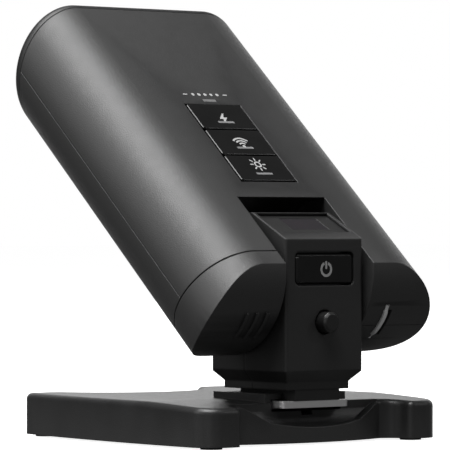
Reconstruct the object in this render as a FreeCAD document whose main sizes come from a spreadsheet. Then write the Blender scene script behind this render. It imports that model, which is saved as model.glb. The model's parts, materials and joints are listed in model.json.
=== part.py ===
import FreeCAD, Part
import Sketcher
import math
import os
from FreeCAD import Vector

# Compact camera flash on its mini stand.
# Frame: +X to the right seen from behind, +Y the way the flash points, +Z up.
# The origin is on the ground, below the middle of the tilt axis.

doc = FreeCAD.newDocument("Flash")

# ---------------------------------------------------------------- dimensions
SIZES = [
    ("ground_gap", 0.5, "rubber foot height"),
    ("stand_half", 32.6, "stand half width at the rear legs"),
    ("stand_rear", 14.0, "rear end of the legs behind the tilt axis"),
    ("side_radius", 320.0, "bowed side of the stand"),
    ("leg_inner", 23.2, "inner edge of the rear legs"),
    ("flute_radius", 4.6, "hollow between leg and middle"),
    ("pad_half", 19.6, "half width of the middle at its rear"),
    ("pad_rear", 8.1, "rear corners of the middle behind the tilt axis"),
    ("pad_radius", 57.0, "bulge of the middle's rear wall"),
    ("tip_front", 55.5, "front of the two toes"),
    ("tip_outer", 28.2, "toe outer edge"),
    ("tip_inner", 20.5, "toe inner edge"),
    ("bay_radius", 21.3, "concave front edge between the toes"),
    ("deck_rear_z", 8.1, "top of the stand at its rear"),
    ("deck_front_z", 9.1, "top of the stand at the toes"),
    ("deck_radius", 680.0, "hollow of the top from rear to front"),
    ("scoop_z", 4.9, "height where the scoop's floor meets its slopes"),
    ("scoop_floor", 12.5, "half width of the scoop's floor"),
    ("scoop_radius", 68.5, "hollow of the scoop's floor"),
    ("shoe_half", 11.2, "cold shoe outer half width"),
    ("shoe_rear", -6.7, "rear end of the shoe rails"),
    ("shoe_front", 10.2, "front end of the shoe"),
    ("shoe_stop", 8.0, "front stop inside the shoe"),
    ("shoe_top", 10.85, "top of the shoe lips"),
    ("lip_z", 9.6, "underside of the shoe lips"),
    ("channel_half", 9.6, "shoe channel half width"),
    ("channel_z", 7.1, "floor of the shoe channel"),
    ("lip_half", 6.6, "half width of the gap between the lips"),
    ("bush_radius", 4.5, "tripod bush outside"),
    ("bush_bore", 2.55, "tapping bore of the quarter inch thread"),
    ("bush_len", 5.2, "tripod bush length"),
    ("plate_half", 9.3, "foot plate half width, standard accessory shoe"),
    ("plate_rear", -10.3, "rear edge of the foot plate"),
    ("plate_front", 7.7, "front edge of the foot plate"),
    ("plate_z", 7.8, "underside of the foot plate"),
    ("plate_thick", 1.5, "foot plate thickness"),
    ("neck_half", 6.2, "neck half width above the plate"),
    ("flange_z", 11.6, "underside of the stem"),
    ("stem_half", 10.75, "stem half width"),
    ("stem_rear", -12.9, "stem rear face"),
    ("stem_front", 11.8, "stem front face"),
    ("stem_seam", 0.45, "joint between the stem shells"),
    ("stem_wall", 1.6, "stem wall"),
    ("stem_chamfer", 2.15, "sideways size of the bottom chamfer"),
    ("shoulder_z", 15.6, "top of the bottom chamfer"),
    ("roof_rise", 9.4, "roof corner above the tilt axis"),
    ("ridge_rise", 15.0, "roof ridge above the tilt axis"),
    ("ridge_half", 2.0, "half width of the flat ridge"),
    ("seam_gap", 0.12, "visible line between joined shells"),
    ("hinge_z", 33.85, "tilt axis height"),
    ("axle_radius", 3.0, "tilt axle"),
    ("axle_half", 14.5, "tilt axle half length"),
    ("power_half", 7.85, "power key half width"),
    ("power_low", 33.85, "power key lower edge"),
    ("power_high", 40.25, "power key upper edge"),
    ("key_gap", 0.35, "gap round the keys"),
    ("button_z", 25.8, "release button centre"),
    ("button_radius", 2.2, "release button"),
    ("button_proud", 2.6, "release button in front of the wall"),
    ("pin_y", 4.2, "lock pin centre"),
    ("tilt", 41.3, "head angle above level, degrees"),
    ("head_half", 31.0, "head half width"),
    ("head_thick", 13.0, "head half thickness"),
    ("seam_front", 69.6, "front seam of the head at mid thickness"),
    ("front_lean", 26.565, "lean of the front, degrees"),
    ("head_wall", 1.6, "head wall"),
    ("end_radius", 18.0, "rounded rear end of the head"),
    ("end_centre", 4.3, "centre of that rounding"),
    ("notch_half", 12.2, "notch half width"),
    ("notch_radius", 18.3, "notch floor, about the tilt axis"),
    ("cap_thick", 2.7, "thickness of the bezel"),
    ("door_seam", -4.2, "line between lobe and battery door"),
    ("panel_half", 7.6, "mode key half width"),
    ("panel_low", 17.85, "lower end of the key opening"),
    ("panel_high", 43.65, "upper end of the key opening"),
    ("key_pitch", 8.55, "distance from key to key"),
    ("key_len", 8.2, "mode key length"),
    ("lens_half", 24.0, "flash window half width"),
    ("lens_low", -6.6, "flash window lower edge"),
    ("lens_high", 7.4, "flash window upper edge"),
    ("lamp_half", 18.0, "lamp window half width"),
    ("lamp_low", -11.6, "lamp window lower edge"),
    ("lamp_high", -8.0, "lamp window upper edge"),
    ("cell_x", -20.9, "cell centre across the head"),
    ("cell_offset", 5.3, "cell centre above and below mid thickness"),
    ("cell_radius", 5.25, "cell, ten and a half millimetres across"),
    ("cell_rear", -3.7, "rear end of the cells"),
    ("cell_len", 43.3, "cell length without its nub"),
    ("tube_y", -8.6, "flash tube centre behind the front seam"),
    ("tube_t", 0.4, "flash tube centre along the front"),
]

sheet = doc.addObject("Spreadsheet::Sheet", "Dims")
sheet.set("A1", "name")
sheet.set("B1", "value")
sheet.set("C1", "meaning")
for row, (alias, value, meaning) in enumerate(SIZES, start=2):
    sheet.set("A%d" % row, alias)
    sheet.set("B%d" % row, "%g" % value)
    sheet.setAlias("B%d" % row, alias)
    sheet.set("C%d" % row, meaning)
doc.recompute()


class Size:
    """A number kept together with the expression that gives it from the sheet."""

    def __init__(self, value, text):
        self.value, self.text = float(value), text

    def __add__(self, other):
        other = size(other)
        return Size(self.value + other.value, "(%s + %s)" % (self.text, other.text))

    def __sub__(self, other):
        other = size(other)
        return Size(self.value - other.value, "(%s - %s)" % (self.text, other.text))

    def __mul__(self, other):
        other = size(other)
        return Size(self.value * other.value, "(%s * %s)" % (self.text, other.text))

    def __neg__(self):
        return size(0) - self

    def __radd__(self, other):
        return size(other) + self

    def __rsub__(self, other):
        return size(other) - self


def size(number):
    return number if isinstance(number, Size) else Size(number, "%.6g" % number)


class Dims:
    """Read access to the sheet: D.name is the sheet's cell with that alias."""

    def __getattr__(self, alias):
        return Size(sheet.get(alias), "Dims." + alias)


D = Dims()

# ---------------------------------------------------------------- frames
AXES = {"x": (1, 0, 0), "y": (0, 1, 0), "z": (0, 0, 1)}


def placement_text(x, y, z, axis="z", angle=0):
    x, y, z, angle = size(x), size(y), size(z), size(angle)
    return ("create(<<placement>>; create(<<vector>>; %s; %s; %s); "
            "create(<<rotation>>; create(<<vector>>; %d; %d; %d); %s))"
            % ((x.text, y.text, z.text) + AXES[axis] + (angle.text,)))


head_frame = doc.addObject("App::Placement", "HeadFrame")
head_frame.setExpression("Placement", placement_text(0, 0, D.hinge_z, "x", D.tilt))
front_frame = doc.addObject("App::Placement", "FrontFrame")
front_frame.setExpression("Placement", "HeadFrame.Placement * " + placement_text(
    0, D.seam_front, 0, "x", -D.front_lean))
ROOM, HEAD, FRONT = "", "HeadFrame.Placement * ", "FrontFrame.Placement * "


def put(feature, frame, x, y, z, axis="z", angle=0):
    feature.setExpression("Placement", frame + placement_text(x, y, z, axis, angle))
    return feature


# ---------------------------------------------------------------- primitives and booleans
def add(kind, name, **sizes):
    feature = doc.addObject(kind, name)
    for key, value in sizes.items():
        feature.setExpression(key, size(value).text)
    return feature


def box(name, x, y, z, frame=ROOM):
    """A block between two limits on each axis."""
    lows = [size(pair[0]) for pair in (x, y, z)]
    spans = [size(pair[1]) - size(pair[0]) for pair in (x, y, z)]
    block = add("Part::Box", name, Length=spans[0], Width=spans[1], Height=spans[2])
    return put(block, frame, *lows)


def rod(name, axis, radius, span, centre, frame=ROOM):
    """A cylinder along one axis, between two limits, centred on the other two axes."""
    rounds = add("Part::Cylinder", name, Radius=radius, Height=size(span[1]) - size(span[0]))
    if axis == "x":
        return put(rounds, frame, span[0], centre[0], centre[1], "y", 90)
    if axis == "y":
        return put(rounds, frame, centre[0], span[0], centre[1], "x", -90)
    return put(rounds, frame, centre[0], centre[1], span[0])


def fuse(name, *shapes):
    if len(shapes) == 1:
        return shapes[0]
    union = doc.addObject("Part::MultiFuse", name)
    union.Shapes = list(shapes)
    return union


def common(name, *shapes):
    overlap = doc.addObject("Part::MultiCommon", name)
    overlap.Shapes = list(shapes)
    return overlap


def cut(name, base, *tools):
    rest = doc.addObject("Part::Cut", name)
    rest.Base = base
    rest.Tool = fuse(name + "_tool", *tools)
    return rest


def ring(name, axis, outer, inner, span, centre, frame=ROOM):
    return cut(name, rod(name + "_outer", axis, outer, span, centre, frame),
               rod(name + "_inner", axis, inner, span, centre, frame))


def group(name, *shapes):
    """Identical separate pieces kept in one node."""
    several = doc.addObject("Part::Compound", name)
    several.Links = list(shapes)
    return several


NODES = []


def node(label, feature):
    feature.Label = label
    NODES.append(feature)
    return feature


# ---------------------------------------------------------------- sketches and bodies
PLANES = {"xy": "XY_Plane", "xz": "XZ_Plane", "yz": "YZ_Plane"}


def new_body(name, frame=ROOM):
    body = doc.addObject("PartDesign::Body", name)
    if frame:
        body.setExpression("Placement", frame.rstrip(" *"))
    return body


def new_sketch(body, name, plane, offset=0):
    """A sketch on an origin plane, moved along that plane's normal."""
    sketch = body.newObject("Sketcher::SketchObject", name)
    support = [f for f in body.Origin.OriginFeatures if f.Role == PLANES[plane]][0]
    sketch.AttachmentSupport = [(support, "")]
    sketch.MapMode = "FlatFace"
    sketch.setExpression("AttachmentOffset.Base.z", size(offset).text)
    return sketch


def bind(sketch, kind, geometry, point, value):
    """Fix a sketch point at a distance from the origin along one axis."""
    if abs(value.value) < 1e-9:
        axis = -2 if kind == "DistanceX" else -1
        sketch.addConstraint(Sketcher.Constraint("PointOnObject", geometry, point, axis))
        return
    index = sketch.addConstraint(
        Sketcher.Constraint(kind, -1, 1, geometry, point, value.value))
    sketch.setExpression("Constraints[%d]" % index, value.text)


def outline(sketch, corners):
    """A closed outline. Each corner is (x, y), or (x, y, radius) where the side that
    starts there is an arc: positive radius bulges to the right of the way it runs."""
    corners = [tuple(size(value) for value in corner) for corner in corners]
    count = len(corners)
    first = sketch.GeometryCount
    starts = []
    for i, corner in enumerate(corners):
        a = Vector(corner[0].value, corner[1].value, 0)
        following = corners[(i + 1) % count]
        b = Vector(following[0].value, following[1].value, 0)
        if len(corner) == 2:
            sketch.addGeometry(Part.LineSegment(a, b), False)
            starts.append((1, 2))
            continue
        radius = abs(corner[2].value)
        chord = b.sub(a)
        side = Vector(chord.y, -chord.x, 0).normalize()
        drop = math.sqrt(max(radius ** 2 - (chord.Length / 2) ** 2, 0))
        forward = corner[2].value > 0
        centre = a.add(b).multiply(0.5).add(side.multiply(-drop if forward else drop))
        low, high = (a, b) if forward else (b, a)
        first_angle = math.atan2(low.y - centre.y, low.x - centre.x)
        last_angle = math.atan2(high.y - centre.y, high.x - centre.x)
        if last_angle < first_angle:
            last_angle += 2 * math.pi
        sketch.addGeometry(Part.ArcOfCircle(
            Part.Circle(centre, Vector(0, 0, 1), radius), first_angle, last_angle), False)
        starts.append((1, 2) if forward else (2, 1))
    for i in range(count):
        here, after = starts[i], starts[(i + 1) % count]
        sketch.addConstraint(Sketcher.Constraint(
            "Coincident", first + i, here[1], first + (i + 1) % count, after[0]))
        bind(sketch, "DistanceX", first + i, here[0], corners[i][0])
        bind(sketch, "DistanceY", first + i, here[0], corners[i][1])
        if len(corners[i]) == 3:
            radius = corners[i][2] if corners[i][2].value > 0 else -corners[i][2]
            index = sketch.addConstraint(
                Sketcher.Constraint("Radius", first + i, radius.value))
            sketch.setExpression("Constraints[%d]" % index, radius.text)


def rectangle(sketch, x, y):
    outline(sketch, [(x[0], y[0]), (x[1], y[0]), (x[1], y[1]), (x[0], y[1])])


def circle(sketch, x, y, radius):
    x, y, radius = size(x), size(y), size(radius)
    index = sketch.addGeometry(
        Part.Circle(Vector(x.value, y.value, 0), Vector(0, 0, 1), radius.value), False)
    bind(sketch, "DistanceX", index, 3, x)
    bind(sketch, "DistanceY", index, 3, y)
    constraint = sketch.addConstraint(Sketcher.Constraint("Radius", index, radius.value))
    sketch.setExpression("Constraints[%d]" % constraint, radius.text)


def extrude(kind, body, name, sketch, length, flip=False):
    """Pad or Pocket. A pad follows the sketch's normal and a pocket runs against it."""
    before = body.Shape.Volume if body.Tip else 0
    feature = body.newObject("PartDesign::" + kind, name)
    feature.Profile = sketch
    feature.setExpression("Length", size(length).text)
    feature.Reversed = flip
    sketch.Visibility = False
    doc.recompute()
    change = body.Shape.Volume - before
    if (kind == "Pocket" and change >= -1e-6) or (kind == "Pad" and change <= 1e-6):
        raise RuntimeError("%s changed nothing in %s" % (name, body.Name))
    return feature


def turned(body, name, sketch, axis):
    feature = body.newObject("PartDesign::Revolution", name)
    feature.Profile = sketch
    feature.ReferenceAxis = (sketch, [axis])
    feature.Angle = 360
    doc.recompute()
    return feature


def dress(kind, body, name, amount, wanted):
    """Fillet or chamfer on the tip's edges that meet a test."""
    base = body.Tip
    names = ["Edge%d" % (i + 1) for i, edge in enumerate(base.Shape.Edges) if wanted(edge)]
    feature = body.newObject("PartDesign::" + kind, name)
    feature.Base = (base, names)
    feature.setExpression("Radius" if kind == "Fillet" else "Size", size(amount).text)
    doc.recompute()
    return feature


def runs_along(edge, axis):
    """True for a straight edge parallel to an axis."""
    if not isinstance(edge.Curve, (Part.Line, Part.LineSegment)):
        return False
    return abs(abs(edge.tangentAt(edge.FirstParameter).dot(Vector(*AXES[axis]))) - 1) < 1e-6


# ---------------------------------------------------------------- stand
stand = new_body("StandBody")
plan = new_sketch(stand, "StandPlan", "xy", D.ground_gap)
outline(plan, [
    (-D.stand_half, -D.stand_rear), (-D.leg_inner, -D.stand_rear, -D.flute_radius),
    (-D.pad_half, -D.pad_rear, D.pad_radius), (D.pad_half, -D.pad_rear, -D.flute_radius),
    (D.leg_inner, -D.stand_rear), (D.stand_half, -D.stand_rear, D.side_radius),
    (D.tip_outer, D.tip_front), (D.tip_inner, D.tip_front, -D.bay_radius),
    (-D.tip_inner, D.tip_front), (-D.tip_outer, D.tip_front, D.side_radius)])
extrude("Pad", stand, "StandSlab", plan, D.deck_front_z + 0.4 - D.ground_gap)
for name, radius, inside, outside, low, high in (
        ("LegCorners", 5, 30, 40, -15, -13), ("LegRidges", 1.4, 22, 25, -15, -13),
        ("PadRidges", 1.2, 18, 21, -9, -7), ("ToeCorners", 3.4, 18, 30, 54, 57)):
    dress("Fillet", stand, name, radius,
          lambda e: runs_along(e, "z") and inside < abs(e.BoundBox.Center.x) < outside
          and low < e.BoundBox.Center.y < high)
above = new_sketch(stand, "DeckHollow", "yz", -40)
outline(above, [(-20, D.deck_rear_z, 0 - D.deck_radius), (60, D.deck_front_z + 0.08),
                (60, 14), (-20, 14)])
extrude("Pocket", stand, "DeckTop", above, 80, flip=True)
dress("Fillet", stand, "DeckRound", 1.3, lambda e: e.BoundBox.ZMin > 7)
shoe = new_sketch(stand, "ShoePlan", "xy", D.channel_z - 1)
rectangle(shoe, (-D.shoe_half, D.shoe_half), (D.shoe_rear, D.shoe_front))
extrude("Pad", stand, "Shoe", shoe, D.shoe_top - D.channel_z + 1)
channel = new_sketch(stand, "ChannelPlan", "xy", D.lip_z)
rectangle(channel, (-D.channel_half, D.channel_half), (-D.stand_rear - 1, D.shoe_stop))
extrude("Pocket", stand, "ShoeChannel", channel, D.lip_z - D.channel_z)
mouth = new_sketch(stand, "MouthPlan", "xy", D.shoe_top)
rectangle(mouth, (-D.lip_half, D.lip_half), (-D.stand_rear - 1, D.shoe_stop))
extrude("Pocket", stand, "ShoeMouth", mouth, D.shoe_top - D.lip_z)
groove = new_sketch(stand, "GroovePlan", "xy", D.channel_z)
rectangle(groove, (-1.5, 1.5), (-D.stand_rear - 1, D.pin_y + 1.6))
extrude("Pocket", stand, "PinGroove", groove, 0.9)
socket = new_sketch(stand, "SocketPlan", "xy", D.ground_gap)
circle(socket, 0, 0, D.bush_radius)
extrude("Pocket", stand, "BushSeat", socket, D.bush_len, flip=True)

across = new_body("ScoopAcross")
u_shape = new_sketch(across, "ScoopAcrossProfile", "xz", -5)
outline(u_shape, [
    (-D.scoop_floor, D.scoop_z, D.scoop_radius), (D.scoop_floor, D.scoop_z),
    (D.pad_half, 8.7), (D.pad_half, 12), (-D.pad_half, 12), (-D.pad_half, 8.7)])
extrude("Pad", across, "ScoopAcrossPad", u_shape, 25)
along = new_body("ScoopAlong")
back_wall = new_sketch(along, "ScoopAlongProfile", "yz", -30)
outline(back_wall, [(-20, 3.2), (-10.6, 3.2, 6), (-7, 7.2), (-6.8, 12), (-20, 12)])
extrude("Pad", along, "ScoopAlongPad", back_wall, 60)
node("stand_base", cut("StandBase", stand, common("Scoop", across, along)))

bush = ring("TripodBush", "z", D.bush_radius, D.bush_bore,
            (D.ground_gap, D.ground_gap + D.bush_len), (0, 0))
node("tripod_bush", bush)
FEET = [(27.8, -9.2), (-27.8, -9.2), (24.4, 51.8), (-24.4, 51.8)]
feet = [rod("Foot%d" % i, "z", 2.3, (0, D.ground_gap), spot) for i, spot in enumerate(FEET)]
node("stand_feet", group("StandFeet", *feet))

# ---------------------------------------------------------------- foot of the flash
plate = new_body("PlateBody")
plate_plan = new_sketch(plate, "PlatePlan", "xy", D.plate_z)
rectangle(plate_plan, (-D.plate_half, D.plate_half), (D.plate_rear, D.plate_front))
extrude("Pad", plate, "Plate", plate_plan, D.plate_thick)
dress("Fillet", plate, "PlateCorners", 1.2, lambda e: runs_along(e, "z"))
window = new_sketch(plate, "PlateWindow", "xy", D.plate_z + D.plate_thick)
rectangle(window, (-4.2, 4.2), (-7, 1.5))
circle(window, 0, D.pin_y, 1.4)
extrude("Pocket", plate, "PlateOpenings", window, D.plate_thick)
FOOT_SCREWS = [(5.0, -8.6), (-5.0, -8.6), (5.0, 5.6), (-5.0, 5.6)]
screw_holes = new_sketch(plate, "PlateScrewHoles", "xy", D.plate_z + D.plate_thick)
for x, y in FOOT_SCREWS:
    circle(screw_holes, x, y, 0.8)
extrude("Pocket", plate, "PlateScrewPockets", screw_holes, D.plate_thick)
sinks = new_sketch(plate, "PlateSinks", "xy", D.plate_z)
for x, y in FOOT_SCREWS:
    circle(sinks, x, y, 1.4)
extrude("Pocket", plate, "PlateSinkPockets", sinks, 0.8, flip=True)
node("foot_plate", plate)

plate_top = D.plate_z + D.plate_thick
neck_y = (D.plate_rear - 0.2, D.plate_front - 0.5)
pilot_holes = [rod("FootPilot%d" % i, "z", 0.72, (plate_top, plate_top + 4.5), spot)
               for i, spot in enumerate(FOOT_SCREWS)]
foot_block = cut(
    "FootBlock",
    fuse("FootBlockSolid",
         box("NeckBlock", (-D.neck_half, D.neck_half), neck_y, (plate_top, D.flange_z)),
         box("NeckCore", (-D.neck_half, D.neck_half), (D.plate_rear + 1, D.plate_front - 1),
             (D.flange_z, D.shoulder_z)),
         box("NeckInsert", (-4.2, 4.2), (-7, 1.5), (D.plate_z, plate_top))),
    rod("PinGuide", "z", 1.35, (D.plate_z, D.shoulder_z), (0, D.pin_y)),
    *pilot_holes,
    *[rod("ContactHole%d" % i, "z", 0.7, (D.plate_z, plate_top + 3), spot)
      for i, spot in enumerate([(0, -2.5), (2.6, -0.4), (-2.6, -0.4), (2.6, -4.8), (-2.6, -4.8)])])
node("foot_block", foot_block)
CONTACTS = [(0, -2.5, 1.25), (2.6, -0.4, 0.7), (-2.6, -0.4, 0.7), (2.6, -4.8, 0.7),
            (-2.6, -4.8, 0.7)]
node("contact_pins", group("ContactPins", *[
    rod("Contact%d" % i, "z", 0.7, (D.plate_z, plate_top + 3), (x, y))
    for i, (x, y, _) in enumerate(CONTACTS)]))
node("foot_screws", group("FootScrews", *[
    fuse("FootScrew%d" % i,
         rod("FootScrewHead%d" % i, "z", 1.35, (D.plate_z + 0.1, D.plate_z + 0.8), spot),
         rod("FootScrewShank%d" % i, "z", 0.7, (D.plate_z + 0.8, plate_top + 4), spot))
    for i, spot in enumerate(FOOT_SCREWS)]))

# ---------------------------------------------------------------- stem shells
roof_corner = D.hinge_z + D.roof_rise
ridge = D.hinge_z + D.ridge_rise
cavity_top = roof_corner - D.stem_wall


def stem_shell(name, wall_y, seam_y, corner_round):
    """One half of the stem, from its outer wall to the seam."""
    inward = 1 if wall_y.value < 0 else -1
    foot_y = wall_y + D.stem_chamfer * inward
    ridge_y = -D.ridge_half * inward
    shell = new_body(name)
    profile = new_sketch(shell, name + "Profile", "yz", -D.stem_half)
    corners = [(foot_y, D.flange_z), (seam_y, D.flange_z), (seam_y, ridge), (ridge_y, ridge),
               (wall_y, roof_corner), (wall_y, D.shoulder_z), (foot_y, D.shoulder_z - 2.4)]
    outline(profile, corners)
    extrude("Pad", shell, name + "Solid", profile, D.stem_half + D.stem_half)
    dress("Fillet", shell, name + "Round", corner_round,
          lambda e: runs_along(e, "z") and e.Length > 20
          and abs(e.BoundBox.YMin - wall_y.value) < 0.01)
    flip = inward < 0
    for side in (-1, 1):
        trim = new_sketch(shell, "%sTrim%d" % (name, side + 1), "xz", -seam_y)
        outline(trim, [
            ((D.stem_half + 1) * side, D.flange_z - 1),
            ((D.stem_half - D.stem_chamfer) * side, D.flange_z - 1),
            ((D.stem_half - D.stem_chamfer) * side, D.shoulder_z - 2.4),
            (D.stem_half * side, D.shoulder_z), ((D.stem_half + 1) * side, D.shoulder_z)])
        extrude("Pocket", shell, "%sTrimCut%d" % (name, side + 1), trim, 20, flip=not flip)
    hollow = new_sketch(shell, name + "Hollow", "xz", -seam_y)
    rectangle(hollow, (D.stem_wall - D.stem_half, D.stem_half - D.stem_wall),
              (D.shoulder_z, cavity_top))
    depth = (seam_y - wall_y) * inward - D.stem_wall
    extrude("Pocket", shell, name + "HollowCut", hollow, depth, flip=not flip)
    axle_hole = new_sketch(shell, name + "AxleHole", "yz", -D.stem_half)
    circle(axle_hole, 0, D.hinge_z, D.axle_radius)
    extrude("Pocket", shell, name + "AxleCut", axle_hole, D.stem_half + D.stem_half, flip=True)
    return shell


neck_opening = box("NeckOpening", (-D.neck_half, D.neck_half),
                   (D.plate_rear + 1, D.plate_front - 1), (D.flange_z - 1, D.shoulder_z + 1))
rear_shell = stem_shell("RearShell", D.stem_rear, D.stem_seam, 0.7)
power_hole = new_sketch(rear_shell, "PowerHole", "xz", -D.stem_rear)
rectangle(power_hole, (-D.power_half - D.key_gap, D.power_half + D.key_gap),
          (D.power_low - D.key_gap, D.power_high + D.key_gap))
extrude("Pocket", rear_shell, "PowerOpening", power_hole, D.stem_wall)
dress("Fillet", rear_shell, "PowerOpeningCorners", 1.2,
      lambda e: runs_along(e, "y") and e.Length < 1.7
      and D.power_low.value - 1 < e.BoundBox.ZMin < D.power_high.value + 1)
button_hole = new_sketch(rear_shell, "ButtonHole", "xz", -D.stem_rear)
circle(button_hole, 0, D.button_z, D.button_radius + 0.4)
extrude("Pocket", rear_shell, "ButtonOpening", button_hole, D.stem_wall)

# The cover lies on the sloping rear roof; roof_angle is that slope.
roof_angle = math.degrees(math.atan2(
    (D.ridge_rise - D.roof_rise).value, (-D.ridge_half - D.stem_rear).value))


def on_roof(name, x, along, height):
    """A block on the rear roof: along runs up the slope from its lower edge."""
    block = box(name, x, along, height)
    origin_x, origin_y, origin_z = size(x[0]), size(along[0]), size(height[0])
    slope = math.radians(roof_angle)
    y = D.stem_rear + origin_y * math.cos(slope) - origin_z * math.sin(slope)
    z = roof_corner + origin_y * math.sin(slope) + origin_z * math.cos(slope)
    return put(block, ROOM, origin_x, y, z, "x", roof_angle)


STEM_SCREWS = [(-6.5, 42.9), (6.5, 42.9)]
COVER = ((-9.9, 9.9), (3.2, 11.9))
WINDOW = ((-4.3, 5.9), (5.6, 10.6))
node("stem_rear_shell", cut(
    "RearShellFinished", rear_shell, neck_opening,
    on_roof("CoverSeat", COVER[0], COVER[1], (-1.7, 1)),
    on_roof("SensorWell", (-2.2, 3.8), (6.4, 9.8), (-4.5, 0)),
    *[rod("StemScrewPilot%d" % i, "y", 0.92, (-5.2, 2), spot)
      for i, spot in enumerate(STEM_SCREWS)]))
front_shell = stem_shell("FrontShell", D.stem_front, D.stem_seam + D.seam_gap, 1.2)
node("stem_front_shell", cut(
    "FrontShellFinished", front_shell, neck_opening,
    *[rod("StemScrewSink%d" % i, "y", 2.0, (D.stem_front - 1.4, 20), spot)
      for i, spot in enumerate(STEM_SCREWS)],
    *[rod("StemScrewClear%d" % i, "y", 0.95, (0, 20), spot)
      for i, spot in enumerate(STEM_SCREWS)]))
node("stem_cover", cut(
    "StemCover", on_roof("CoverBlock", (-9.8, 9.8), (3.3, 11.8), (-1.7, -0.6)),
    on_roof("WindowSeat", WINDOW[0], WINDOW[1], (-1.1, 1)),
    on_roof("WindowLight", (-2.2, 3.8), (6.4, 9.8), (-3, 0))))
node("sensor_window", on_roof("SensorWindow", (-4.25, 5.85), (5.65, 10.55), (-1.1, -0.65)))
node("slave_sensor", on_roof("SlaveSensor", (-1.6, 3.2), (6.9, 9.3), (-4.3, -2.2)))

# ---------------------------------------------------------------- tilt axle
node("hinge_axle", ring("HingeAxle", "x", D.axle_radius, 1.7,
                        (-D.axle_half, D.axle_half), (0, D.hinge_z)))
node("friction_washers", group("FrictionWashers", *[
    ring("Washer%d" % side, "x", 5.6, D.axle_radius, limits, (0, D.hinge_z))
    for side, limits in ((0, (D.stem_half, D.stem_half + 0.9)),
                         (1, (-D.stem_half - 0.9, -D.stem_half)))]))

# ---------------------------------------------------------------- inside the stem
node("stem_board", box("StemBoard", (-8.8, 8.8), (-6.6, -5.6), (29.4, 41.2)))
node("power_switch", fuse(
    "PowerSwitch", box("SwitchCan", (-2.6, 2.6), (-8.8, -6.6), (34.6, 39.4)),
    rod("SwitchPlunger", "y", 1.1, (-9.2, -8.8), (0, 37.05))))
node("stem_screws", group("StemScrews", *[
    fuse("StemScrew%d" % i,
         rod("StemScrewHead%d" % i, "y", 1.9, (D.stem_front - 1.3, D.stem_front - 0.3), spot),
         rod("StemScrewShank%d" % i, "y", 0.9, (-5, D.stem_front - 1.3), spot))
    for i, spot in enumerate(STEM_SCREWS)]))

# ---------------------------------------------------------------- power key, button and pin
power = new_body("PowerKeyBody")
power_face = new_sketch(power, "PowerFace", "xz", -D.stem_rear + 0.15)
rectangle(power_face, (-D.power_half, D.power_half), (D.power_low, D.power_high))
extrude("Pad", power, "PowerBlock", power_face, 2.75, flip=True)
dress("Fillet", power, "PowerCorners", 0.9, lambda e: runs_along(e, "y"))
dress("Chamfer", power, "PowerBevel", 0.45,
      lambda e: abs(e.BoundBox.YMax - (D.stem_rear - 0.15).value) < 0.01)
power_flange = new_sketch(power, "PowerFlange", "xz", -D.stem_rear - D.stem_wall - 0.3)
rectangle(power_flange, (-8.85, 8.85), (D.power_low - 0.9, D.power_high + 0.9))
extrude("Pad", power, "PowerRim", power_flange, 0.7, flip=True)
node("power_key", power)

button = new_body("ButtonBody")
lathe = new_sketch(button, "ButtonProfile", "yz")
front_y = D.stem_rear - D.button_proud
outline(lathe, [
    (front_y, D.button_z), (front_y, D.button_z + D.button_radius - 0.5),
    (front_y + 0.5, D.button_z + D.button_radius), (-11, D.button_z + D.button_radius),
    (-11, D.button_z + 3), (-10.2, D.button_z + 3), (-10.2, D.button_z + 1.2),
    (-3, D.button_z + 1.2), (-3, D.button_z)])
centre_line = lathe.addGeometry(Part.LineSegment(
    Vector(front_y.value, D.button_z.value, 0), Vector(-3, D.button_z.value, 0)), True)
turned(button, "ButtonTurned", lathe, "Axis0")
wedge = new_sketch(button, "WedgeProfile", "yz", -1.2)
outline(wedge, [(-3.5, D.button_z - 1.2), (1, D.button_z - 1.2), (1, D.button_z - 0.9),
                (-3.5, D.button_z + 2.7)])
extrude("Pad", button, "Wedge", wedge, 2.4)
node("release_button", button)

pin = new_body("PinBody")
yoke = new_sketch(pin, "YokeProfile", "yz", -1.2)
outline(yoke, [(-2.5, D.button_z + 2.35), (1.9, D.button_z - 1.17), (D.pin_y, D.button_z - 1.17),
               (D.pin_y, D.button_z + 3.3), (-2.5, D.button_z + 3.3)])
extrude("Pad", pin, "Yoke", yoke, 2.4)
shaft = new_sketch(pin, "PinSection", "xy", 6.9)
circle(shaft, 0, D.pin_y, 1.0)
extrude("Pad", pin, "PinShaft", shaft, D.button_z + 3.3 - 6.9)
node("lock_pin", pin)


# ---------------------------------------------------------------- head shells
def slab(name, inset, front):
    """The head's rounded block, drawn in from its surface by an inset."""
    thick = D.head_thick - inset
    core = D.head_half - D.head_thick
    rear = -D.end_radius
    section = fuse(
        name + "Section",
        box(name + "Core", (-core, core), (rear, front), (-thick, thick), HEAD),
        rod(name + "Left", "y", thick, (rear, front), (-core, 0), HEAD),
        rod(name + "Right", "y", thick, (rear, front), (core, 0), HEAD))
    reach = D.head_half + 1
    rounded = fuse(
        name + "Ends",
        rod(name + "End", "x", D.end_radius - inset, (-reach, reach), (D.end_centre, 0), HEAD),
        box(name + "Run", (-reach, reach), (D.end_centre, front + 1), (-20, 20), HEAD))
    return common(name, section, rounded)


def notch(name, extra):
    """The slot that clears the stem: round above mid thickness and square below it."""
    half, radius = D.notch_half + extra, D.notch_radius + extra
    return fuse(name,
                rod(name + "Sweep", "x", radius, (-half, half), (0, 0), HEAD),
                box(name + "Below", (-half, half), (-20, radius), (-20, 0), HEAD))


outer = common("HeadOuter", slab("HeadBlock", 0, 80),
               box("BehindFront", (-40, 40), (-120, 0), (-60, 60), FRONT))
inner = slab("HeadInner", D.head_wall, 81)
room = cut("HeadRoom", inner, notch("NotchWall", 1.5))
axle_clear = rod("AxleClear", "x", 3.6, (-D.notch_half - 1.6, D.notch_half + 1.6), (0, 0), HEAD)
shell = cut("HeadHollow", outer, room, notch("Notch", 0), axle_clear)

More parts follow.
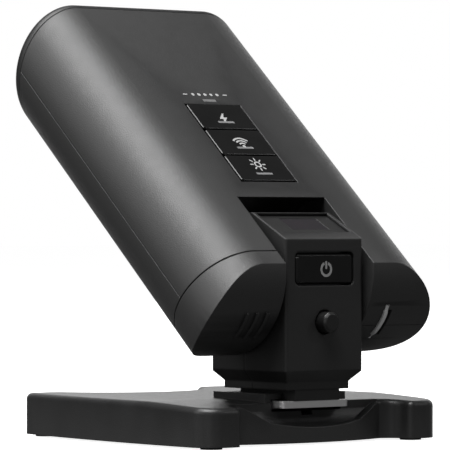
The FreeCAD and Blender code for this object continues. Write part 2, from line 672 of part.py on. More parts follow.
lobe_x = (-40, -D.notch_half + 0.01)
door_space = box("DoorSpace", lobe_x, (-30, D.door_seam + 0.15), (-20, 20), HEAD)
door_block = box("DoorBlock", lobe_x, (-30, D.door_seam - 0.15), (-20, 20), HEAD)
strap_slot = box("StrapSlot", (16.9, 19.4), (-18, -9), (-2.9, 4.0), HEAD)
strap_seat = rod("StrapSeat", "z", 0.6, (-4.2, 5.3), (17.7, -12.75), HEAD)
SHELL_SCREWS = [(16.6, 51.5), (-16.6, 51.5), (20.0, 4.0)]
BOARD_POSTS = [(-11.0, 53.5), (21.0, 53.5), (21.0, 24.0)]

bosses_top = [ring("TopBoss%d" % i, "z", 2.4, 1.02, (0, D.head_thick - 1.5), spot, HEAD)
              for i, spot in enumerate(SHELL_SCREWS)]
posts = [rod("BoardPost%d" % i, "z", 1.5, (9.2, D.head_thick - 1.5), spot, HEAD)
         for i, spot in enumerate(BOARD_POSTS)]
top_half = common("TopHalf", shell,
                  box("AboveSeam", (-40, 40), (-30, 90), (0, 20), HEAD))
node("head_top_shell", cut(
    "HeadTopShell", fuse("TopWithBosses", top_half, *(bosses_top + posts)), door_space,
    box("KeyOpening", (-D.panel_half - 0.3, D.panel_half + 0.3), (D.panel_low, D.panel_high),
        (9, 20), HEAD),
    box("StatusSlot", (-1.75, 1.75), (44.6, 45.4), (11, 20), HEAD), strap_slot,
    strap_seat))

bosses_low = [rod("LowBoss%d" % i, "z", 2.6, (1.5 - D.head_thick, -0.15), spot, HEAD)
              for i, spot in enumerate(SHELL_SCREWS)]
clear_low = [rod("LowClear%d" % i, "z", 1.1, (-20, 1), spot, HEAD)
             for i, spot in enumerate(SHELL_SCREWS)]
sink_low = [rod("LowSink%d" % i, "z", 2.1, (-20, 1.4 - D.head_thick), spot, HEAD)
            for i, spot in enumerate(SHELL_SCREWS)]
low_half = common("LowHalf", shell,
                  box("BelowSeam", (-40, 40), (-30, 90), (-20, -D.seam_gap), HEAD))
node("head_bottom_shell", cut(
    "HeadBottomShell", fuse("LowWithBosses", low_half, *bosses_low), door_space, strap_slot,
    strap_seat,
    *(clear_low + sink_low)))
node("shell_screws", group("ShellScrews", *[
    fuse("ShellScrew%d" % i,
         rod("ShellScrewHead%d" % i, "z", 1.9, (0.2 - D.head_thick, 1.4 - D.head_thick),
             spot, HEAD),
         rod("ShellScrewShank%d" % i, "z", 1.0, (1.4 - D.head_thick, 6), spot, HEAD))
    for i, spot in enumerate(SHELL_SCREWS)]))
node("strap_bar", rod("StrapBar", "z", 0.58, (-4.1, 5.2), (17.7, -12.75), HEAD))

# ---------------------------------------------------------------- battery door and cells
door_shell = cut("DoorHollow", outer, room, notch("DoorNotch", 0))
ridges = [common("Ridge%d" % i,
                 rod("RidgeArc%d" % i, "x", D.end_radius + 0.35, (x - 0.4, x + 0.4),
                     (D.end_centre, 0), HEAD),
                 box("RidgeBlock%d" % i, (x - 1, x + 1), (-16, -12.6), (-2.8, 3.9), HEAD))
          for i, x in enumerate((-20.9, -18.2, -15.5))]
node("battery_door", fuse("BatteryDoor", common("DoorPlain", door_shell, door_block), *ridges))
CELLS = (D.cell_offset, -D.cell_offset)
spring_rear = -9.5


def contact_spring(name, height):
    """Round wire wound up towards the cell."""
    helix = doc.addObject("Part::Helix", name + "Helix")
    for key, value in (("Pitch", 1.25), ("Height", 4.6), ("Radius", 2.6)):
        setattr(helix, key, value)
    wire = doc.addObject("Part::Circle", name + "Wire")
    wire.Radius = 0.3
    wire.Placement = FreeCAD.Placement(Vector(2.6, 0, 0), FreeCAD.Rotation(Vector(1, 0, 0), 90))
    sweep = doc.addObject("Part::Sweep", name)
    sweep.Sections = [wire]
    sweep.Spine = (helix, [])
    sweep.Solid = True
    sweep.Frenet = True
    return put(sweep, HEAD, D.cell_x, spring_rear + 0.35, height, "x", -90)


node("door_contact", box("DoorContact", (-25.6, -16.2), (spring_rear - 0.5, spring_rear),
                         (-7.9, 7.9), HEAD))
node("door_springs", group("DoorSprings", *[
    contact_spring("DoorSpring%d" % i, height) for i, height in enumerate(CELLS)]))

nub = 1.9
cell_front = D.cell_rear + D.cell_len
node("battery_cells", group(
    "BatteryCells",
    fuse("CellUp", rod("CellCanUp", "y", D.cell_radius, (D.cell_rear, cell_front),
                       (D.cell_x, D.cell_offset), HEAD),
         rod("CellNubUp", "y", nub, (cell_front, cell_front + 1.1),
             (D.cell_x, D.cell_offset), HEAD)),
    fuse("CellLow", rod("CellCanLow", "y", D.cell_radius, (D.cell_rear + 1.1, cell_front + 1.1),
                        (D.cell_x, -D.cell_offset), HEAD),
         rod("CellNubLow", "y", nub, (D.cell_rear, D.cell_rear + 1.1),
             (D.cell_x, -D.cell_offset), HEAD))))
tray_front = cell_front + 2.6
tray_block = box("TrayBlock", (-27, -14.85), (D.cell_rear, tray_front), (-11.3, 11.3), HEAD)
tray_limit = slab("TrayLimit", D.head_wall + 0.15, 60)
node("battery_tray", cut(
    "BatteryTray", common("TrayFitted", tray_block, tray_limit),
    *[rod("TrayBore%d" % i, "y", D.cell_radius + 0.1, (D.cell_rear - 1, cell_front + 1.7),
          (D.cell_x, height), HEAD) for i, height in enumerate(CELLS)]))
node("battery_contacts", group("BatteryContacts", *[
    rod("CellContact%d" % i, "y", 4.2, (cell_front + 1.2, cell_front + 1.6),
        (D.cell_x, height), HEAD) for i, height in enumerate(CELLS)]))

# ---------------------------------------------------------------- hinge brackets
node("hinge_brackets", group("HingeBrackets", *[
    cut("Bracket%d" % i,
        box("BracketPlate%d" % i, limits, (-3.4, 8), (-6, 6), HEAD),
        rod("BracketBore%d" % i, "x", D.axle_radius + 0.05, limits, (0, 0), HEAD))
    for i, limits in enumerate(((D.notch_half + 1.5, D.notch_half + 2.5),
                                (-D.notch_half - 2.5, -D.notch_half - 1.5)))]))

# ---------------------------------------------------------------- front end
bezel_block = common("BezelBlock", slab("BezelOuter", 0, 86),
                     box("BezelLimit", (-40, 40), (D.seam_gap, D.cap_thick), (-20, 20), FRONT))
doc.recompute()
bezel_round = doc.addObject("Part::Fillet", "BezelRound")
bezel_round.Base = bezel_block
face_normal = front_frame.Placement.Rotation.multVec(Vector(0, 1, 0))
face_height = front_frame.Placement.Base.dot(face_normal) + D.cap_thick.value
bezel_round.Edges = [
    (i, 1.6, 1.6) for i, edge in enumerate(bezel_block.Shape.Edges, start=1)
    if all(abs(vertex.Point.dot(face_normal) - face_height) < 0.01 for vertex in edge.Vertexes)]
lens_x, lens_t = (-D.lens_half, D.lens_half), (D.lens_low, D.lens_high)
lamp_x, lamp_t = (-D.lamp_half, D.lamp_half), (D.lamp_low, D.lamp_high)
node("window_bezel", cut(
    "WindowBezel", bezel_round,
    box("LensOpening", lens_x, (-2, 5), lens_t, FRONT),
    box("LampOpening", lamp_x, (-2, 5), lamp_t, FRONT)))
lens_y = (D.cap_thick - 2.3, D.cap_thick - 0.5)
lens_ribs = [box("LensRib%d" % i, lens_x, (D.cap_thick - 0.5, D.cap_thick - 0.2),
                 (D.lens_low + 0.6 + 1.5 * i, D.lens_low + 1.3 + 1.5 * i), FRONT)
             for i in range(9)]
node("flash_window", fuse("FlashWindow", box("LensPane", lens_x, lens_y, lens_t, FRONT),
                          *lens_ribs))
node("lamp_window", box("LampWindow", lamp_x, lens_y, lamp_t, FRONT))

reflector = new_body("ReflectorBody", FRONT)
trough = new_sketch(reflector, "TroughProfile", "yz", -21.0)
bowl, sheet_thick, mouth_y, bowl_y = 6.6, 0.7, -0.3, -8.1
high, low = D.tube_t + bowl, D.tube_t - bowl
outline(trough, [
    (mouth_y, high), (bowl_y, high, bowl + 0.1), (bowl_y, low), (mouth_y, low),
    (mouth_y, low + sheet_thick), (bowl_y, low + sheet_thick, sheet_thick - bowl - 0.1),
    (bowl_y, high - sheet_thick), (mouth_y, high - sheet_thick)])
extrude("Pad", reflector, "Trough", trough, 42)
node("reflector", reflector)
node("flash_tube", rod("FlashTube", "x", 1.6, (-25, 25), (D.tube_y, D.tube_t), FRONT))
node("tube_holders", group("TubeHolders", *[
    ring("TubeHolder%d" % i, "x", 3.2, 1.6, limits, (D.tube_y, D.tube_t), FRONT)
    for i, limits in enumerate(((21.2, 24.2), (-24.2, -21.2)))]))
led_t = -9.8
node("lamp_board", box("LampBoard", (-20, 20), (-5.6, -4.6), (led_t - 2.4, led_t + 2.4), FRONT))
node("lamp_leds", group("LampLeds", *[
    fuse("Led%d" % i, rod("LedBody%d" % i, "y", 1.7, (-4.6, -2.7), (x, led_t), FRONT),
         put(add("Part::Sphere", "LedDome%d" % i, Radius=1.7), FRONT, x, -2.7, led_t))
    for i, x in enumerate((-9.0, 0.0, 9.0))]))

# ---------------------------------------------------------------- electronics in the head
node("main_board", cut("MainBoard", box("BoardBlank", (-13.6, 24), (20.4, 55.8), (8.2, 9.2), HEAD),
                       rod("BoardHole", "z", 2.9, (7, 11), SHELL_SCREWS[0], HEAD)))
node("main_capacitor", fuse(
    "MainCapacitor", rod("CapCan", "y", 6.1, (17, 47.6), (20.3, -4.2), HEAD),
    rod("CapRim", "y", 4.6, (47.6, 48.4), (20.3, -4.2), HEAD)))
node("transformer", fuse(
    "Transformer", box("CoreLeft", (-9, -5.5), (24, 38), (-9.5, 1.5), HEAD),
    box("CoreRight", (2.5, 6), (24, 38), (-9.5, 1.5), HEAD),
    rod("Winding", "y", 4.6, (25.5, 36.5), (-1.5, -4.0), HEAD),
    box("CoreBar", (-9, 6), (24, 38), (-11, -8.0), HEAD)))
node("trigger_coil", rod("TriggerCoil", "x", 2.6, (-12, -3), (50, -6), HEAD))

# ---------------------------------------------------------------- mode keys
KEY_FACE, KEY_BACK = 13.2, 10.6
KEYS = ("lamp", "wireless", "auto")
first_key = D.panel_low + 0.3
for i, use in enumerate(KEYS):
    low_edge = first_key + D.key_pitch * i
    high_edge = low_edge + D.key_len
    key = new_body("ModeKey%d" % i, HEAD)
    face = new_sketch(key, "KeyFace%d" % i, "xy", KEY_BACK)
    rectangle(face, (-D.panel_half, D.panel_half), (low_edge, high_edge))
    extrude("Pad", key, "KeyBlock%d" % i, face, KEY_FACE - KEY_BACK)
    dress("Fillet", key, "KeyCorners%d" % i, 0.5, lambda e: runs_along(e, "z"))
    dress("Fillet", key, "KeyEdge%d" % i, 0.25,
          lambda e: abs(e.BoundBox.ZMin - KEY_FACE) < 0.01)
    rim = new_sketch(key, "KeyRim%d" % i, "xy", KEY_BACK)
    rectangle(rim, (-D.panel_half - 0.9, D.panel_half + 0.9), (low_edge + 1, high_edge - 1))
    extrude("Pad", key, "KeyRimPad%d" % i, rim, 0.4)
    slot = new_sketch(key, "LampSlot%d" % i, "xy", KEY_FACE)
    rectangle(slot, (-2.2, 2.2), (low_edge + 1.9, low_edge + 2.5))
    extrude("Pocket", key, "LampSlotCut%d" % i, slot, 0.6)
    node("mode_key_" + use, key)
    node("key_light_" + use, box("KeyLight%d" % i, (-2.2, 2.2), (low_edge + 1.9, low_edge + 2.5),
                                 (KEY_FACE - 0.6, KEY_FACE + 0.02), HEAD))
node("key_switches", group("KeySwitches", *[
    box("KeySwitch%d" % i, (-2, 2), (first_key + D.key_pitch * i + 2.1,
                                     first_key + D.key_pitch * i + 6.1), (9.2, 9.75), HEAD)
    for i in range(3)]))
node("status_light", box("StatusLight", (-1.75, 1.75), (44.6, 45.4), (11.6, 13.02), HEAD))

# ---------------------------------------------------------------- checks and export
doc.recompute()
for feature in doc.Objects:
    if "Invalid" in feature.State or "Error" in feature.State:
        raise RuntimeError("failed: %s %s" % (feature.Name, feature.State))
os.makedirs("parts", exist_ok=True)
for feature in NODES:
    shape = feature.Shape
    if shape.isNull() or not shape.isValid() or not shape.Solids:
        raise RuntimeError("bad shape: " + feature.Label)
for feature in NODES:
    feature.Shape.exportStep("parts/%s.step" % feature.Label)
    print("%-20s %2d solid(s) %10.2f mm3" % (feature.Label, len(feature.Shape.Solids),
                                             feature.Shape.Volume))
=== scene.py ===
import json
import math
import bpy
import bmesh
from mathutils import Matrix, Vector


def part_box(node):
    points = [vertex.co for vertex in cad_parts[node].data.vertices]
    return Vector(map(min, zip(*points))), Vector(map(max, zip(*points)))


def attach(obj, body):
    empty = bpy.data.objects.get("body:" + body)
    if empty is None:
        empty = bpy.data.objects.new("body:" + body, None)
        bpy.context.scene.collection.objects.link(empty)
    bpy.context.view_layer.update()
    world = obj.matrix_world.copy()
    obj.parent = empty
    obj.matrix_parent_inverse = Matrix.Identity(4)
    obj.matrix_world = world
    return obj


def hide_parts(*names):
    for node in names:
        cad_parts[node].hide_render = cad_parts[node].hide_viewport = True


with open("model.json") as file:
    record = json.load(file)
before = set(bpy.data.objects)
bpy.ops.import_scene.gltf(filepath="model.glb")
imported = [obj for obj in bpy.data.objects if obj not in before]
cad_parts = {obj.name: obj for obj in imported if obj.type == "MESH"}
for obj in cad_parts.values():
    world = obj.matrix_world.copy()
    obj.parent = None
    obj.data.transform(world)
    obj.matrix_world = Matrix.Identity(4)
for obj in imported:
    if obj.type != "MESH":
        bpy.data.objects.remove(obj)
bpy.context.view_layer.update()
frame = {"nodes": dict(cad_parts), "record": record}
MM = 0.001

# ------------------------------------------------------------------ materials
def new_material(name):
    mat = bpy.data.materials.new(name)
    mat.use_nodes = True
    tree = mat.node_tree
    shader = tree.nodes["Principled BSDF"]
    return mat, tree, shader


def noise(tree, scale, detail=3.0, rough=0.55, stretch=(1, 1, 1)):
    """Noise in object space, scale in features per metre."""
    coord = tree.nodes.new("ShaderNodeTexCoord")
    mapping = tree.nodes.new("ShaderNodeMapping")
    mapping.inputs["Scale"].default_value = stretch
    texture = tree.nodes.new("ShaderNodeTexNoise")
    texture.inputs["Scale"].default_value = scale
    texture.inputs["Detail"].default_value = detail
    texture.inputs["Roughness"].default_value = rough
    tree.links.new(coord.outputs["Object"], mapping.inputs["Vector"])
    tree.links.new(mapping.outputs["Vector"], texture.inputs["Vector"])
    return texture.outputs["Fac"]


def ramp(tree, fac, stops):
    node = tree.nodes.new("ShaderNodeValToRGB")
    elements = node.color_ramp.elements
    while len(elements) < len(stops):
        elements.new(0.5)
    for element, (place, colour) in zip(elements, stops):
        element.position = place
        element.color = (*colour, 1)
    tree.links.new(fac, node.inputs["Fac"])
    return node.outputs["Color"]


def remap(tree, fac, low, high):
    node = tree.nodes.new("ShaderNodeMapRange")
    node.inputs["To Min"].default_value = low
    node.inputs["To Max"].default_value = high
    tree.links.new(fac, node.inputs["Value"])
    return node.outputs["Result"]


def bump(tree, shader, height, strength, distance, edge=0.0):
    """Fine relief; edge is the radius in metres that softens sharp edges."""
    node = tree.nodes.new("ShaderNodeBump")
    if edge:
        soft = tree.nodes.new("ShaderNodeBevel")
        soft.samples = 6
        soft.inputs["Radius"].default_value = edge
        tree.links.new(soft.outputs["Normal"], node.inputs["Normal"])
    node.inputs["Strength"].default_value = strength
    node.inputs["Distance"].default_value = distance
    tree.links.new(height, node.inputs["Height"])
    tree.links.new(node.outputs["Normal"], shader.inputs["Normal"])


def surface(name, dark, light, rough, grain, grain_depth, patch=140, metal=0.0,
            coat=0.0, stretch=(1, 1, 1), specular=0.5, worn=None, edge=0.0):
    """Plastic, metal or rubber with mottled colour, uneven roughness and a fine grain."""
    mat, tree, shader = new_material(name)
    mottled = ramp(tree, noise(tree, patch, 4.0), [(0.3, dark), (0.7, light)])
    if worn:
        geometry = tree.nodes.new("ShaderNodeNewGeometry")
        edges = ramp(tree, geometry.outputs["Pointiness"], [(0.52, (0, 0, 0)), (0.6, (1, 1, 1))])
        mix = tree.nodes.new("ShaderNodeMix")
        mix.data_type = "RGBA"
        tree.links.new(edges, mix.inputs["Factor"])
        tree.links.new(mottled, mix.inputs["A"])
        mix.inputs["B"].default_value = (*worn, 1)
        mottled = mix.outputs["Result"]
    tree.links.new(mottled, shader.inputs["Base Color"])
    tree.links.new(remap(tree, noise(tree, patch * 3, 3.0), rough[0], rough[1]),
                   shader.inputs["Roughness"])
    bump(tree, shader, noise(tree, grain, 2.0, 0.6, stretch), 0.6, grain_depth, edge)
    shader.inputs["Metallic"].default_value = metal
    shader.inputs["Coat Weight"].default_value = coat
    shader.inputs["Coat Roughness"].default_value = 0.08
    shader.inputs["Specular IOR Level"].default_value = specular
    return mat


def grey(level, tint=0.0):
    return (level, level, level * (1 + tint))


BODY = surface("body_grain", grey(0.006), grey(0.011, 0.03), (0.42, 0.52), 4600, 0.00009,
               worn=grey(0.03), edge=0.0003)
STEM = surface("stem_grain", grey(0.006), grey(0.01, 0.03), (0.42, 0.52), 5200, 0.00005,
               specular=0.4, worn=grey(0.02), edge=0.00055)
STAND = surface("stand_grain", grey(0.011), grey(0.017, 0.03), (0.34, 0.44), 4300, 0.00007,
                worn=grey(0.03), edge=0.0003)
SMOOTH = surface("smooth_cover", grey(0.011), grey(0.016), (0.26, 0.34), 3000, 0.00001,
                 edge=0.0002)
GLOSS = surface("polished_black", grey(0.002), grey(0.004), (0.1, 0.18), 900, 0.000006,
                coat=0.2, specular=0.3, edge=0.0003)
BUTTON = surface("matt_button", grey(0.008), grey(0.012), (0.3, 0.4), 4800, 0.00002,
                 edge=0.0004)
DARK_WINDOW = surface("dark_filter", (0.004, 0.003, 0.005), (0.007, 0.004, 0.007),
                      (0.06, 0.12), 700, 0.000004, coat=0.5)
NECK = surface("neck_plastic", grey(0.01), grey(0.014), (0.5, 0.6), 4200, 0.00003)
RUBBER = surface("foot_rubber", grey(0.012), grey(0.02), (0.7, 0.85), 3600, 0.00006)
PLATE = surface("stamped_plate", grey(0.05), grey(0.95), (0.25, 0.5), 2600, 0.00012,
                patch=2200, metal=1.0, worn=grey(0.8), edge=0.0002)
STEEL = surface("zinc_steel", grey(0.42), grey(0.6, 0.02), (0.24, 0.36), 3200, 0.00002,
                metal=1.0)
# Near-white colour with little metal: a painted highlight, so the strap bar looks lit from every
# side.
BAR_PAINTED_HIGHLIGHT = surface("bar_painted_highlight", grey(0.75), grey(0.9), (0.3, 0.4), 2400, 0.00001, metal=0.3)
BRASS = surface("turned_brass", (0.56, 0.36, 0.13), (0.72, 0.5, 0.22), (0.24, 0.36), 2600,
                0.00003, metal=1.0, stretch=(1, 1, 14))
GOLD = surface("gold_plating", (0.75, 0.5, 0.18), (0.86, 0.62, 0.27), (0.2, 0.3), 2600,
               0.00001, metal=1.0)
COPPER = surface("enamelled_copper", (0.5, 0.17, 0.06), (0.68, 0.27, 0.1), (0.2, 0.35), 4200,
                 0.00006, metal=1.0, stretch=(9, 1, 1))
NYLON = surface("white_nylon", grey(0.55), grey(0.62, 0.04), (0.45, 0.6), 3000, 0.00003)
SILICONE = surface("white_silicone", grey(0.6), grey(0.68), (0.5, 0.65), 2600, 0.00003)
BOARD = surface("solder_mask", (0.008, 0.075, 0.03), (0.014, 0.11, 0.045), (0.3, 0.42), 2400,
                0.00003, patch=420, coat=0.3)
CHIP = surface("moulded_part", grey(0.017), grey(0.026), (0.5, 0.62), 3800, 0.00004)
SLEEVE = surface("shrink_sleeve", grey(0.008), grey(0.014, 0.1), (0.2, 0.3), 1500, 0.00002)
CELL = surface("cell_sleeve", grey(0.3), grey(0.38, 0.03), (0.25, 0.36), 1800, 0.00001,
               coat=0.3)
MIRROR = surface("polished_reflector", grey(0.82), grey(0.9), (0.05, 0.12), 1200, 0.00001,
                 metal=1.0)
GUIDE = surface("milky_guide", grey(0.14), grey(0.19, 0.02), (0.35, 0.45), 2400, 0.00001)
PRINT = surface("light_print", grey(0.3), grey(0.36), (0.5, 0.62), 3600, 0.00002, patch=900)
DIM_PRINT = surface("dim_print", grey(0.1), grey(0.13), (0.5, 0.62), 3600, 0.00002, patch=900)
PHOSPHOR = surface("led_phosphor", (0.72, 0.6, 0.16), (0.85, 0.75, 0.32), (0.25, 0.4), 2600,
                   0.00002, coat=0.4)


def clear(name, tint, rough, grain, depth):
    """Clear moulded plastic or glass, with a faint flow pattern."""
    mat, tree, shader = new_material(name)
    flow = ramp(tree, noise(tree, 160, 3.0), [(0.3, tint), (0.7, tuple(min(1, c * 1.06)
                                                                      for c in tint))])
    tree.links.new(flow, shader.inputs["Base Color"])
    tree.links.new(remap(tree, noise(tree, 500), rough, rough * 2), shader.inputs["Roughness"])
    bump(tree, shader, noise(tree, grain), 0.4, depth)
    shader.inputs["Transmission Weight"].default_value = 0.92
    shader.inputs["IOR"].default_value = 1.49
    return mat


LENS = clear("ribbed_lens", (0.86, 0.88, 0.9), 0.08, 1400, 0.00001)
TUBE = clear("tube_glass", (0.9, 0.92, 0.93), 0.03, 900, 0.000005)

NODE_MATERIALS = {
    "stand_base": STAND, "tripod_bush": BRASS, "stand_feet": RUBBER,
    "foot_plate": PLATE, "foot_block": NECK, "contact_pins": GOLD, "foot_screws": STEEL,
    "stem_rear_shell": STEM, "stem_front_shell": STEM, "stem_cover": SMOOTH,
    "sensor_window": DARK_WINDOW, "slave_sensor": CHIP, "hinge_axle": STEEL,
    "friction_washers": NYLON, "stem_board": BOARD, "power_switch": CHIP, "stem_screws": STEEL,
    "power_key": GLOSS, "release_button": BUTTON, "lock_pin": STEEL,
    "head_top_shell": BODY, "head_bottom_shell": BODY, "shell_screws": STEEL,
    "strap_bar": BAR_PAINTED_HIGHLIGHT, "battery_door": BODY, "door_contact": STEEL, "door_springs": STEEL,
    "battery_cells": CELL, "battery_tray": CHIP, "battery_contacts": STEEL,
    "hinge_brackets": STEEL, "window_bezel": BODY, "flash_window": LENS, "lamp_window": LENS,
    "reflector": MIRROR, "flash_tube": TUBE, "tube_holders": SILICONE, "lamp_board": BOARD,
    "lamp_leds": PHOSPHOR, "main_board": BOARD, "main_capacitor": SLEEVE, "transformer": CHIP,
    "trigger_coil": COPPER, "mode_key_lamp": GLOSS, "mode_key_wireless": GLOSS,
    "mode_key_auto": GLOSS, "key_light_lamp": GUIDE, "key_light_wireless": GUIDE,
    "key_light_auto": GUIDE, "key_switches": CHIP, "status_light": DIM_PRINT,
}
for name, mat in NODE_MATERIALS.items():
    obj = frame["nodes"][name]
    if obj.material_slots:
        for slot in obj.material_slots:
            slot.material = mat
    else:
        obj.data.materials.append(mat)

# ------------------------------------------------------------------ frames of the parts
TILT_JOINT = [j for j in frame["record"]["behaviour"]["joints"] if j["name"] == "head_tilt"][0]
KEY_JOINT = [j for j in frame["record"]["behaviour"]["joints"] if j["name"] == "press_auto"][0]
HINGE = Vector(TILT_JOINT["pos_m"])
THICK = -Vector(KEY_JOINT["axis"])                 # out of the head's key face
ALONG = Vector((0, THICK.z, -THICK.y))             # the way the head points
HEAD_SPACE = Matrix.Translation(HINGE) @ Matrix(
    (Vector((1, 0, 0)), ALONG, THICK)).transposed().to_4x4()


def plate(name, loops, depth, space, mat, body, lift=0.0, bevel=0.0):
    """Thin raised marks: closed outlines in mm, raised by depth, placed by a matrix."""
    mesh = bpy.data.meshes.new(name)
    bm = bmesh.new()
    for loop in loops:
        base = [bm.verts.new((x * MM, y * MM, lift * MM)) for x, y in loop]
        face = bm.faces.new(base)
        grown = bmesh.ops.extrude_face_region(bm, geom=[face])
        top = [v for v in grown["geom"] if isinstance(v, bmesh.types.BMVert)]
        bmesh.ops.translate(bm, verts=top, vec=(0, 0, depth * MM))
    bmesh.ops.recalc_face_normals(bm, faces=bm.faces)
    bm.to_mesh(mesh)
    bm.free()
    obj = bpy.data.objects.new(name, mesh)
    bpy.context.scene.collection.objects.link(obj)
    mesh.transform(space)
    mesh.materials.append(mat)
    if bevel:
        soften = obj.modifiers.new("soft", "BEVEL")
        soften.width, soften.segments = bevel * MM, 2
    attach(obj, body)
    return obj


def ring_sector(cx, cy, outer, inner, start, end, steps=40, squash=1.0):
    """Outline of a ring or part of one, as one closed loop."""
    angles = [math.radians(start + (end - start) * i / steps) for i in range(steps + 1)]
    out = [(cx + outer * math.cos(a), cy + outer * squash * math.sin(a)) for a in angles]
    inn = [(cx + inner * math.cos(a), cy + inner * squash * math.sin(a))
           for a in reversed(angles)]
    return out + inn


def bar(x0, y0, x1, y1, width):
    """A straight stroke with rounded ends."""
    run = Vector((x1 - x0, y1 - y0))
    across = Vector((-run.y, run.x)).normalized() * width / 2
    heading = math.atan2(run.y, run.x)
    points = []
    for (cx, cy), turn in (((x1, y1), heading - math.pi / 2), ((x0, y0), heading + math.pi / 2)):
        for i in range(9):
            a = turn + math.pi * i / 8
            points.append((cx + width / 2 * math.cos(a), cy + width / 2 * math.sin(a)))
    return points


def disc(cx, cy, radius, steps=24):
    return [(cx + radius * math.cos(2 * math.pi * i / steps),
             cy + radius * math.sin(2 * math.pi * i / steps)) for i in range(steps)]


# ------------------------------------------------------------------ power symbol
low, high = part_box("power_key")
power_y = low[1]
centre_z = (low[2] + high[2]) / 2
POWER_SPACE = Matrix.Translation((0.0003, power_y, centre_z)) @ Matrix(
    (Vector((1, 0, 0)), Vector((0, 0, 1)), Vector((0, -1, 0)))).transposed().to_4x4()
plate("power_mark", [ring_sector(0, -0.15, 1.62, 1.08, 112, 428, 48), bar(0, 0.15, 0, 1.35, 0.5)],
      0.03, POWER_SPACE, PRINT, "power", lift=-0.01)

# ------------------------------------------------------------------ key symbols
KEY_TOP = 13.2


def key_space(node):
    low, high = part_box(node)
    middle = (Vector(low) + Vector(high)) / 2
    offset = (middle - HINGE).dot(ALONG) / MM
    return HEAD_SPACE @ Matrix.Translation((0, offset * MM, KEY_TOP * MM))


bolt = [(0.5, 1.7), (-1.15, -0.15), (-0.15, -0.15), (-0.55, -1.6), (1.15, 0.35), (0.15, 0.35),
        (0.95, 1.7)]
plate("symbol_auto", [bolt], 0.03, key_space("mode_key_auto") @ Matrix.Translation(
    (0, -0.7 * MM, 0)), PRINT, "key_auto", lift=-0.01)
waves = [disc(0, -1.1, 0.42)] + [ring_sector(0, -1.1, r, r - 0.42, 42, 138, 20)
                                 for r in (1.25, 2.05, 2.85)]
plate("symbol_wireless", waves, 0.03, key_space("mode_key_wireless") @ Matrix.Translation(
    (0, -0.35 * MM, 0)), PRINT, "key_wireless", lift=-0.01)
rays = [bar(1.35 * math.cos(a), 1.35 * math.sin(a), 1.95 * math.cos(a), 1.95 * math.sin(a), 0.36)
        for a in (math.pi * i / 4 for i in range(8))]
plate("symbol_lamp", [ring_sector(0, 0, 0.95, 0.55, 0, 359.9, 36)] + rays, 0.03,
      key_space("mode_key_lamp") @ Matrix.Translation((0, 1.1 * MM, 0)), PRINT, "key_lamp",
      lift=-0.01)

# A plain row of marks stands where the panel's heading is.
heading = [bar(x - 0.45, 47.0, x + 0.45, 47.0, 0.34) for x in (-5.6, 5.6)]
heading += [disc(x, 47.0, 0.42) for x in (-3.4, -1.7, 0.0, 1.7, 3.4)]
plate("panel_heading", heading, 0.03, HEAD_SPACE @ Matrix.Translation((0, 0, 13.0 * MM)),
      PRINT, "head", lift=-0.01)

# ------------------------------------------------------------------ strap lug
# A bent wire in the slot of the right lobe; its ends go into the shell.
low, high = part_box("strap_bar")
WIRE_RADIUS, WIRE_BOW = 0.55 * MM, 0.95 * MM
lug_middle = (Vector(low) + Vector(high)) / 2
lug_half = ((high[2] - low[2]) - 2 * WIRE_RADIUS * abs(ALONG.z)) / (2 * THICK.z)
lug_curve = bpy.data.curves.new("strap_lug", "CURVE")
lug_curve.dimensions = "3D"
lug_curve.bevel_depth, lug_curve.bevel_resolution = WIRE_RADIUS, 6
route = lug_curve.splines.new("NURBS")
bends = [(-1.0, 0.0), (-0.8, 0.0), (-0.5, 1.0), (0.5, 1.0), (0.8, 0.0), (1.0, 0.0)]
route.points.add(len(bends) - 1)
for point, (reach, bow) in zip(route.points, bends):
    place = lug_middle + THICK * reach * lug_half - ALONG * bow * WIRE_BOW
    point.co = (*place, 1)
route.order_u, route.use_endpoint_u, route.resolution_u = 3, True, 8
lug = bpy.data.objects.new("strap_lug", lug_curve)
bpy.context.scene.collection.objects.link(lug)
# The lug takes the near-white colour that paints the bar's highlight.
lug_curve.materials.append(BAR_PAINTED_HIGHLIGHT)
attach(lug, "head")
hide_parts("strap_bar")

# ------------------------------------------------------------------ camera, floor and light
def area(name, place, target, size, power, size_y=None):
    data = bpy.data.lights.new(name, "AREA")
    data.shape, data.size, data.size_y = "RECTANGLE", size, size_y or size
    data.energy = power
    obj = bpy.data.objects.new(name, data)
    bpy.context.scene.collection.objects.link(obj)
    obj.location = place
    obj.rotation_euler = (Vector(target) - Vector(place)).to_track_quat("-Z", "Y").to_euler()
    return obj


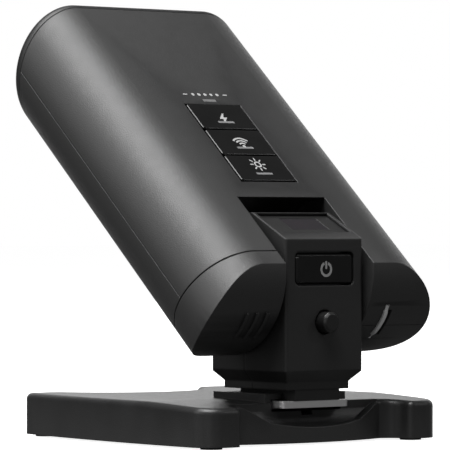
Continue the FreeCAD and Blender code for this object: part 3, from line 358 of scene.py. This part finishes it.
FLOOR_HALF = 6.0
mesh = bpy.data.meshes.new("floor")
mesh.from_pydata([(x * FLOOR_HALF, y * FLOOR_HALF, 0)
                  for x, y in ((-1, -1), (1, -1), (1, 1), (-1, 1))], [], [(0, 1, 2, 3)])
floor = bpy.data.objects.new("floor", mesh)
bpy.context.scene.collection.objects.link(floor)
pale = surface("pale_floor", grey(0.6), grey(0.66), (0.6, 0.7), 900, 0.00002, patch=3)
pale_shader = pale.node_tree.nodes["Principled BSDF"]
pale_shader.inputs["Emission Color"].default_value = (1, 1, 1, 1)
pale_shader.inputs["Emission Strength"].default_value = 0.9
mesh.materials.append(pale)
floor.visible_glossy = False
floor.visible_diffuse = False

# White behind the object, and a dim room where only reflections see it.
ROOM_GLOW = 0.14
world = bpy.data.worlds.new("studio")
bpy.context.scene.world = world
world.use_nodes = True
tree = world.node_tree
background = tree.nodes["Background"]
paths = tree.nodes.new("ShaderNodeLightPath")
strength = tree.nodes.new("ShaderNodeMapRange")
strength.inputs["To Min"].default_value = ROOM_GLOW
strength.inputs["To Max"].default_value = 1.0
tree.links.new(paths.outputs["Is Camera Ray"], strength.inputs["Value"])
tree.links.new(strength.outputs["Result"], background.inputs["Strength"])
background.inputs["Color"].default_value = (1, 1, 1, 1)

CENTRE = (0, 0.02, 0.05)
area("overhead_soft", (-0.2, -0.04, 0.72), CENTRE, 0.46, 11.0, size_y=0.6)
area("backdrop_glow", (0.9, 1.1, 0.3), CENTRE, 1.8, 6.5, size_y=0.9)
area("left_soft", (-0.85, 0.25, 0.5), CENTRE, 0.5, 2.0)
area("right_edge", (0.75, -0.62, 0.6), CENTRE, 0.16, 0.6)
area("left_edge", (-0.95, -0.8, 0.25), CENTRE, 0.2, 0.5)

YAW = math.radians(39.7)
camera_data = bpy.data.cameras.new("camera")
camera_data.sensor_width = 36.0
camera_data.lens = 3706.4 / 450 * 36.0
camera_data.clip_end = 20
camera = bpy.data.objects.new("camera", camera_data)
bpy.context.scene.collection.objects.link(camera)
camera.location = (-0.5132, -0.59829, 0.0462)
camera.rotation_euler = (math.radians(90), 0, -YAW)
bpy.context.scene.camera = camera
bpy.context.scene.view_settings.view_transform = "Standard"
